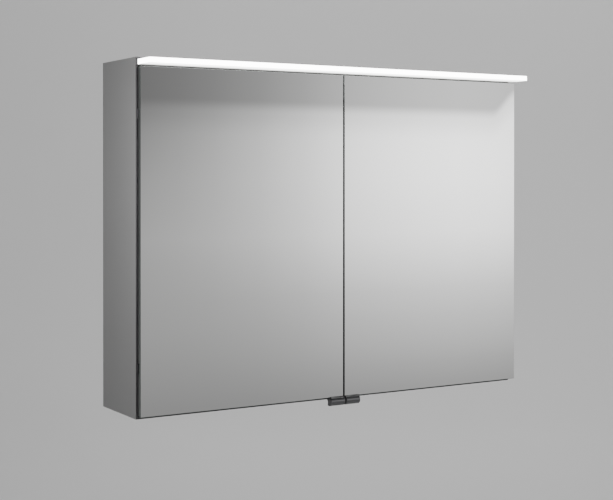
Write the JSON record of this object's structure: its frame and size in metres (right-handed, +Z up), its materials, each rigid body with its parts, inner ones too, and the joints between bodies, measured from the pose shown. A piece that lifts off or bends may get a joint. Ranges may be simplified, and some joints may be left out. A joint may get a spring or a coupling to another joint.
{
  "type": "medicine cabinet with mirror",
  "caption": "Wall-hung bathroom cabinet with hinged mirror doors, glass shelves and a slim lit bar along its top front edge.",
  "frame": {"origin": "centre of the four wall screws, in the plane of the wall, which is the middle of the cabinet's back", "axes": "+X to the right as seen from the front, along the cabinet's width; +Y into the wall; +Z up"},
  "size_m": [0.9, 0.224, 0.6905],
  "materials": {
    "pale_grey_lacquer": "satin pale grey lacquer on board, dark grey front edges",
    "back_board": "matt white coated board",
    "beech": "plain beech",
    "zinc_steel": "zinc plated",
    "white_plastic": "moulded white",
    "shelf_glass": "clear, ground edges",
    "nickel_pins": "nickel plated",
    "magnet": "plain magnet",
    "mirror_glass": "silvered glass with ground edges",
    "dark_core": "black coated board, pale edging next to the glass",
    "satin_metal": "satin, dark",
    "clear_rubber": "soft, clear",
    "hinge_steel": "dull nickel plated",
    "hinge_screw_steel": "bright zinc",
    "nylon": "plain nylon",
    "anodised_aluminium": "satin anodised",
    "opal_acrylic": "opal white, lit from inside",
    "clear_acrylic": "polished clear",
    "circuit_board": "white solder mask",
    "led_phosphor": "cast phosphor",
    "dark_plastic": "moulded grey",
    "white_cable": "extruded sheath"
  },
  "bodies": {
    "carcass": {"side_panel_left": "pale_grey_lacquer", "side_panel_right": "pale_grey_lacquer", "top_panel": "pale_grey_lacquer", "bottom_panel": "pale_grey_lacquer", "centre_divider": "pale_grey_lacquer", "back_panel": "back_board", "panel_dowels": "beech", "wall_rail": "zinc_steel", "hanger_brackets": "zinc_steel", "lower_rail": "pale_grey_lacquer", "access_caps": "white_plastic", "shelf_lower_left": "shelf_glass", "shelf_upper_left": "shelf_glass", "shelf_lower_right": "shelf_glass", "shelf_upper_right": "shelf_glass", "shelf_pins_left": "nickel_pins", "shelf_pins_right": "nickel_pins", "magnet_catches": "magnet", "hinge_plates_left": "hinge_steel", "hinge_arms_left": "hinge_steel", "hinge_bushes_left": "nylon", "hinge_plate_screws_left": "hinge_screw_steel", "hinge_plates_right": "hinge_steel", "hinge_arms_right": "hinge_steel", "hinge_bushes_right": "nylon", "hinge_plate_screws_right": "hinge_screw_steel", "light_housing": "anodised_aluminium", "light_end_caps": "anodised_aluminium", "light_diffuser": "opal_acrylic", "light_guide": "clear_acrylic", "led_board": "circuit_board", "led_chips": "led_phosphor", "light_brackets": "zinc_steel", "bracket_screws": "zinc_steel", "led_driver": "white_plastic", "junction_box": "white_plastic", "cable_gland": "dark_plastic", "light_cable": "white_cable", "supply_cables": "white_cable", "switch_base": "white_plastic", "switch_bezel": "white_plastic"},
    "left_door": {"door_mirror_left": "mirror_glass", "door_core_left": "dark_core", "door_rear_mirror_left": "mirror_glass", "door_pull_left": "satin_metal", "door_bumpers_left": "clear_rubber", "strike_plates_left": "nickel_pins", "hinge_leaves_left": "hinge_steel", "hinge_pins_left": "hinge_screw_steel", "hinge_leaf_screws_left": "hinge_screw_steel"},
    "right_door": {"door_mirror_right": "mirror_glass", "door_core_right": "dark_core", "door_rear_mirror_right": "mirror_glass", "door_pull_right": "satin_metal", "door_bumpers_right": "clear_rubber", "strike_plates_right": "nickel_pins", "hinge_leaves_right": "hinge_steel", "hinge_pins_right": "hinge_screw_steel", "hinge_leaf_screws_right": "hinge_screw_steel"},
    "rocker": {"switch_rocker": "white_plastic"}
  },
  "joints": [
    {"name": "left_door_swing", "type": "hinge", "parent": "carcass", "child": "left_door", "pos_m": [-0.4415, -0.1735, 0], "axis": [0, 0, -1], "range_deg": [0, 105]},
    {"name": "right_door_swing", "type": "hinge", "parent": "carcass", "child": "right_door", "pos_m": [0.4415, -0.1735, 0], "axis": [0, 0, 1], "range_deg": [0, 105]},
    {"name": "switch_tilt", "type": "hinge", "parent": "carcass", "child": "rocker", "pos_m": [0.36, -0.02, 0.19], "axis": [1, 0, 0], "range_deg": [0, 12]}
  ]
}
